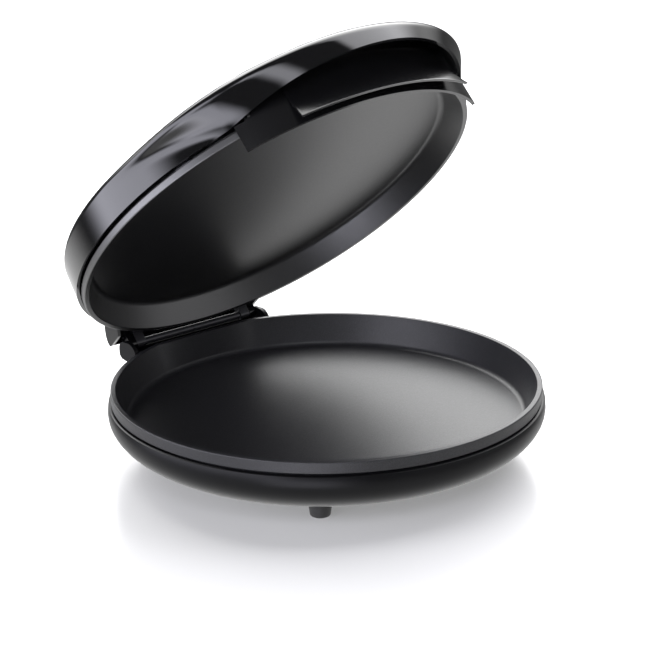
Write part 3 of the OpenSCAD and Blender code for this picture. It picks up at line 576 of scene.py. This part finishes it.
def make_steam_guard():
    """The apron inside the lip, which goes on upward as the back of the finger recess."""
    low_top = EDGE_Z - STEAM_CLEAR
    high_low = GUARD_Z + RECESS_UP
    low = [(GUARD_R, GUARD_Z), (GUARD_OUT, GUARD_Z), (GUARD_OUT, low_top), (GUARD_R, low_top)]
    high = [(GUARD_R, high_low), (GUARD_OUT, high_low), (GUARD_OUT, RECESS_TOP), (GUARD_R, RECESS_TOP)]
    mesh = sector("steam_guard", low, STEAM_HALF)
    at = math.radians(RECESS_HALF - CHEEK_IN)
    lip = reach_at(at, LIP_R - WALL, LIP_SHIFT) - CHEEK_CLEAR
    lip_z = EDGE_Z + (lip * math.cos(at) + LIP_END_Y) * math.tan(LIP_TILT) + CHEEK_CLEAR
    edge = reach_at(at, HOOD_R - WALL, HOOD_SHIFT) - CHEEK_CLEAR
    deck = reach_at(at, HOOD_R - DECK_IN - WALL, HOOD_SHIFT) - CHEEK_CLEAR
    back = GUARD_R + CHEEK_SINK
    top = RECESS_TOP - CHEEK_TOP_CLEAR
    cheek = [(-back, EDGE_Z), (-lip, lip_z), (-edge, HOOD_EDGE_Z - WALL), (-deck, top), (-back, top)]
    parts = [sector("recess_back", high, RECESS_HALF)]
    for side in (1, -1):
        place = Matrix.Translation((0, -ORIGIN_Y, 0)) @ Matrix.Rotation(side * at, 4, "Z")
        parts.append(prism("cheek", cheek, min(0, -side * CHEEK_T), max(0, -side * CHEEK_T), place))
    mesh = boolean(mesh, parts, "UNION")
    mesh = softened(mesh)
    open_lid(mesh)
    finished("steam_guard_moulding", mesh, "lid", GUARD, "steam_guard")


def make_handle_guard():
    """The outer apron, screwed to the steam guard and flared out to its lip."""
    flare = [(GUARD_T + FLARE_OUT * (k / FLARE_STEPS) ** FLARE_BEND,
              FLANGE_LOW - (FLANGE_LOW - GUARD_Z) * k / FLARE_STEPS) for k in range(FLARE_STEPS + 1)]
    top = FLANGE_LOW + FLANGE_H
    profile = [(FLANGE_R, top), (FLANGE_R + GUARD_T, top)]
    profile += [(FLANGE_R + out, z) for out, z in flare]
    profile += [(FLANGE_R + out - GUARD_T, z) for out, z in reversed(flare)]
    mesh = softened(sector("handle_guard", profile, HANDLE_HALF))
    open_lid(mesh)
    finished("handle_guard_moulding", mesh, "lid", GUARD, "handle_guard")


# ------------------------------------------------------------------ materials
# A noise that gives colours or grey levels between low and high, and one that gives bumps
Noise = namedtuple("Noise", "scale detail low high")
Grain = namedtuple("Grain", "scale detail strength distance")


def feed(tree, socket, value):
    """Links another node's socket to this one, or sets it to a plain value."""
    if isinstance(value, bpy.types.NodeSocket):
        tree.links.new(value, socket)
    else:
        socket.default_value = value


class Shader:
    """Builds a material node by node around one Principled shader. In names, _ stands for a space."""

    def __init__(self, name):
        self.mat = bpy.data.materials.new(name)
        self.mat.use_nodes = True
        self.tree = self.mat.node_tree
        self.bsdf = self.tree.nodes["Principled BSDF"]
        self.coords = self.tree.nodes.new("ShaderNodeTexCoord").outputs["Object"]

    def fill(self, node, inputs):
        """Feeds a node's inputs by name."""
        for key, value in inputs.items():
            feed(self.tree, node.inputs[key.replace("_", " ")], value)
        return node

    def node(self, kind, **inputs):
        """A new node with its inputs fed."""
        return self.fill(self.tree.nodes.new(kind), inputs)

    def set(self, **inputs):
        """Feeds inputs of the Principled shader."""
        self.fill(self.bsdf, inputs)

    def noise(self, scale, detail, roughness=0.5):
        """A noise from 0 to 1 in the object's own coordinates."""
        made = self.node("ShaderNodeTexNoise", Vector=self.coords, Scale=scale, Detail=detail,
                         Roughness=roughness)
        return made.outputs["Fac"]

    def ramp(self, source, low, high, start=0.0, end=1.0):
        """Maps a value between start and end to colours or grey levels."""
        made = self.tree.nodes.new("ShaderNodeValToRGB")
        made.color_ramp.elements[0].position = start
        made.color_ramp.elements[1].position = end
        made.color_ramp.elements[0].color = (*low, 1)
        made.color_ramp.elements[1].color = (*high, 1)
        self.tree.links.new(source, made.inputs["Fac"])
        return made.outputs["Color"]

    def rough(self, noise):
        """Roughness from a noise."""
        spread = self.noise(noise.scale, noise.detail)
        self.set(Roughness=self.ramp(spread, grey(noise.low), grey(noise.high)))

    def bump(self, grain, below=None):
        """Adds bumps, on top of those below if there are any."""
        height = self.noise(grain.scale, grain.detail)
        made = self.node("ShaderNodeBump", Height=height, Strength=grain.strength, Distance=grain.distance)
        if below:
            self.tree.links.new(below, made.inputs["Normal"])
        self.tree.links.new(made.outputs["Normal"], self.bsdf.inputs["Normal"])
        return made.outputs["Normal"]


def grey(v, tint=0.0):
    """A grey that leans towards blue by tint."""
    return (v, v, v * (1 + tint))


def make_material(name, base, rough, grain, **settings):
    """A material whose colour, roughness and bumps each come from a noise."""
    m = Shader(name)
    m.set(Base_Color=m.ramp(m.noise(base.scale, base.detail), base.low, base.high), **settings)
    m.rough(rough)
    m.bump(grain)
    return m.mat


def make_satin(name, rough, shine):
    """A black moulding with a fine grain. shine is the level of its mirror-like part."""
    base = Noise(40, 3, grey(0.0040, 0.1), grey(0.0060, 0.12))
    grain = Grain(2600, 2, 0.05, 0.0002)
    return make_material(name, base, rough, grain, IOR=1.5, Specular_IOR_Level=shine)


def make_lens(name, low, high):
    """A clear coloured lens."""
    return make_material(
        name, Noise(200, 3, low, high), Noise(400, 3, 0.05, 0.1), Grain(500, 1, 0.03, 0.0002),
        Transmission_Weight=0.5, IOR=1.49)


# The baking surfaces' roughness, their specks and how strong the coarser grain is beside the fine one
COAT_ROUGH = Noise(700, 3, 0.34, 0.46)
SPECK_SCALE = 2400
SPECK_START, SPECK_END = 0.42, 0.72
COARSE_SHARE = 0.4


def make_coating(name, low, high, grain, ior, shine):
    """A baking surface with fine specks, and with a fine and a coarser grain of bumps."""
    m = Shader(name)
    speck = m.noise(SPECK_SCALE, 2, roughness=0.6)
    m.set(Base_Color=m.ramp(speck, grey(low, 0.12), grey(high, 0.14), SPECK_START, SPECK_END))
    m.set(IOR=ior, Specular_IOR_Level=shine)
    m.rough(COAT_ROUGH)
    fine = m.bump(Grain(1900, 2, grain, 0.0004))
    m.bump(Grain(420, 2, grain * COARSE_SHARE, 0.0006), fine)
    return m.mat


GLOSS = make_material(
    "gloss_black_moulding", Noise(30, 3, grey(0.0025, 0.1), grey(0.0040, 0.15)),
    Noise(160, 4, 0.05, 0.09), Grain(9, 1, 0.04, 0.002), IOR=1.5)
SATIN = make_satin("satin_black_moulding", Noise(240, 4, 0.26, 0.36), 0.12)
GUARD = make_satin("guard_moulding", Noise(240, 4, 0.14, 0.20), 0.5)
PAN_COAT = make_coating("pan_coating", low=0.009, high=0.032, grain=0.16, ior=1.5, shine=0.4)
PLATE_COAT = make_coating("plate_coating", low=0.004, high=0.010, grain=0.06, ior=1.6, shine=1.0)
BLACK_STEEL = make_material(
    "black_steel", Noise(120, 3, grey(0.035, 0.1), grey(0.055, 0.1)),
    Noise(600, 3, 0.24, 0.36), Grain(3000, 2, 0.04, 0.0002), Metallic=0.5)
STEEL = make_material(
    "zinc_steel", Noise(90, 4, grey(0.42, 0.02), grey(0.62, 0.02)),
    Noise(800, 3, 0.22, 0.38), Grain(1500, 2, 0.05, 0.0002), Metallic=1.0)
RUBBER = make_material(
    "foot_rubber", Noise(60, 3, grey(0.008), grey(0.014)),
    Noise(500, 3, 0.55, 0.72), Grain(1800, 2, 0.12, 0.0003))
CERAMIC = make_material(
    "steatite", Noise(150, 4, (0.70, 0.66, 0.57), (0.82, 0.79, 0.70)),
    Noise(300, 3, 0.45, 0.6), Grain(1200, 2, 0.1, 0.0002))
RED = make_lens("red_lens", (0.45, 0.01, 0.01), (0.62, 0.03, 0.02))
GREEN = make_lens("green_lens", (0.01, 0.25, 0.04), (0.03, 0.40, 0.07))

NODE_LOOKS = {
    "base_housing": SATIN, "base_feet": RUBBER, "foot_screws": STEEL, "lower_pan": PAN_COAT,
    "lower_element": STEEL, "lower_element_clips": STEEL, "lower_shield": STEEL,
    "lower_shield_screws": STEEL, "lower_thermostat": STEEL, "thermal_fuse": CERAMIC,
    "terminal_block": CERAMIC, "cord_inlet_bush": SATIN, "hinge_brackets": BLACK_STEEL,
    "bracket_screws": STEEL, "hinge_tube_left": BLACK_STEEL, "hinge_tube_right": BLACK_STEEL,
    "hinge_pin": STEEL, "lid_shell": GLOSS, "handle_guard": GUARD, "handle_guard_screws": STEEL,
    "steam_guard": GUARD, "steam_guard_screws": STEEL, "upper_plate": PLATE_COAT,
    "plate_spring_clips": BLACK_STEEL, "upper_element": STEEL, "upper_element_clips": STEEL,
    "upper_shield": STEEL, "upper_shield_screws": STEEL, "upper_thermostat": STEEL,
    "power_lens": RED, "ready_lens": GREEN, "power_lamp": CERAMIC, "ready_lamp": CERAMIC,
}
WELD_DISTANCE = 2e-6
CAD_CREASE = math.radians(28)


def dress_cad():
    """Gives each carried-over CAD node its material and smooth shading. Its vertices stay as they are."""
    for name, material in NODE_LOOKS.items():
        obj = nodes[name]
        obj.data.materials.clear()
        obj.data.materials.append(material)
        shade(obj)


def shade(obj):
    """Shades a CAD node smooth up to its creases with modifiers alone."""
    weld = obj.modifiers.new("weld", "WELD")
    weld.merge_threshold = WELD_DISTANCE
    split = obj.modifiers.new("split", "EDGE_SPLIT")
    split.split_angle = CAD_CREASE
    split.use_edge_sharp = False
    for p in obj.data.polygons:
        p.use_smooth = True


# ------------------------------------------------------------------ stage and light
FLOOR_HALF = 14.0
FLOOR_GLOW = 0.25
FLOOR_BASE = Noise(2, 3, 0.60, 0.62)
FLOOR_ROUGH = Noise(5, 3, 0.22, 0.25)
FLOOR_IOR = 1.6


def add_stage():
    """A plain pale floor. Glossy surfaces see the studio's own glow from below in its place."""
    mesh = bpy.data.meshes.new("floor")
    corners = [(-FLOOR_HALF, -FLOOR_HALF, 0), (FLOOR_HALF, -FLOOR_HALF, 0),
               (FLOOR_HALF, FLOOR_HALF, 0), (-FLOOR_HALF, FLOOR_HALF, 0)]
    mesh.from_pydata(corners, [], [(0, 1, 2, 3)])
    floor = bpy.data.objects.new("floor", mesh)
    scene.collection.objects.link(floor)
    floor.visible_glossy = False
    m = Shader("studio_floor")
    base = m.noise(FLOOR_BASE.scale, FLOOR_BASE.detail)
    m.set(Base_Color=m.ramp(base, grey(FLOOR_BASE.low), grey(FLOOR_BASE.high)))
    m.rough(FLOOR_ROUGH)
    m.set(IOR=FLOOR_IOR, Emission_Color=(1, 1, 1, 1), Emission_Strength=FLOOR_GLOW)
    floor.data.materials.append(m.mat)


# Soft boxes of the studio, as seen from the object: azimuth to the right of the camera's heading,
# elevation, half the width, half the height and half the width of the soft edge, all in degrees, then
# brightness and colour
SoftBox = namedtuple("SoftBox", "azimuth elevation half_w half_h edge power colour")
SOFT_BOXES = [
    SoftBox(-116, 9, 40, 17, 8, 5.4, (0.96, 0.96, 1.08)),
    SoftBox(-168, -14, 18, 9, 6, 5.5, (0.96, 0.96, 1.08)),
    SoftBox(-12, 45, 40, 27, 14, 7.0, (1.0, 1.0, 1.0)),
    SoftBox(54, 56, 26, 22, 10, 4.6, (1.0, 1.0, 1.04)),
    SoftBox(178, 40, 24, 8, 6, 4.6, (0.97, 0.97, 1.05)),
    SoftBox(103, 12, 30, 18, 8, 0.8, (1.0, 1.0, 1.03)),
]
SKY = 0.12
GROUND = 1.2
# Elevations, in degrees, up to which the glow from below is full and where it ends
GLOW_FULL = -21
GLOW_END = -12
STRAIGHT_UP = Vector((0, 0, 1))


def math_node(tree, operation, *values):
    """A math node with its inputs."""
    made = tree.nodes.new("ShaderNodeMath")
    made.operation = operation
    for socket, value in zip(made.inputs, values):
        feed(tree, socket, value)
    return made.outputs[0]


def vector_node(tree, operation, first, second):
    """A vector node with its two inputs. Only a dot product gives a value and not a vector."""
    made = tree.nodes.new("ShaderNodeVectorMath")
    made.operation = operation
    feed(tree, made.inputs[0], first)
    feed(tree, made.inputs["Scale" if operation == "SCALE" else 1], second)
    return made.outputs["Value" if operation == "DOT_PRODUCT" else "Vector"]


def fade(tree, value, start, end):
    """Falls smoothly from 1 at start to 0 at end, both in degrees. The value is in radians."""
    made = tree.nodes.new("ShaderNodeMapRange")
    made.interpolation_type = "SMOOTHSTEP"
    settings = {"From Min": math.radians(start), "From Max": math.radians(end), "To Min": 1, "To Max": 0}
    for socket, setting in settings.items():
        made.inputs[socket].default_value = setting
    tree.links.new(value, made.inputs["Value"])
    return made.outputs["Result"]


def elevation_of(tree, way):
    """The elevation of the direction way, in radians."""
    return math_node(tree, "ARCSINE", vector_node(tree, "DOT_PRODUCT", way, STRAIGHT_UP))


def soft_box(tree, way, box):
    """Light of one soft box from the direction way, with soft edges."""
    ahead = aimed(CAM_AZ + math.radians(box.azimuth), 0)
    side = Vector((ahead.y, -ahead.x, 0))
    along = vector_node(tree, "DOT_PRODUCT", way, ahead)
    across = vector_node(tree, "DOT_PRODUCT", way, side)
    turn = math_node(tree, "ABSOLUTE", math_node(tree, "ARCTAN2", across, along))
    rise = math_node(tree, "SUBTRACT", elevation_of(tree, way), math.radians(box.elevation))
    high = math_node(tree, "ABSOLUTE", rise)
    sides = fade(tree, turn, box.half_w - box.edge, box.half_w + box.edge)
    ends = fade(tree, high, box.half_h - box.edge, box.half_h + box.edge)
    light = math_node(tree, "MULTIPLY", math_node(tree, "MULTIPLY", sides, ends), box.power)
    return vector_node(tree, "SCALE", box.colour, light)


def add_lights():
    """The studio round the object: soft boxes, a dim sky and the bright floor's glow from below."""
    world = bpy.data.worlds.new("studio")
    scene.world = world
    world.use_nodes = True
    tree = world.node_tree
    way = tree.nodes.new("ShaderNodeTexCoord").outputs["Generated"]
    below = fade(tree, elevation_of(tree, way), GLOW_FULL, GLOW_END)
    total = vector_node(tree, "SCALE", (GROUND - SKY,) * 3, below)
    for box in SOFT_BOXES:
        total = vector_node(tree, "ADD", total, soft_box(tree, way, box))
    total = vector_node(tree, "ADD", total, (SKY,) * 3)
    tree.links.new(total, tree.nodes["Background"].inputs["Color"])
    scene.view_settings.view_transform = "Standard"


# ------------------------------------------------------------------ the scene
add_camera()
dress_cad()
make_pan()
make_plate()
make_shell()
make_cover()
make_steam_guard()
make_handle_guard()
add_stage()
add_lights()
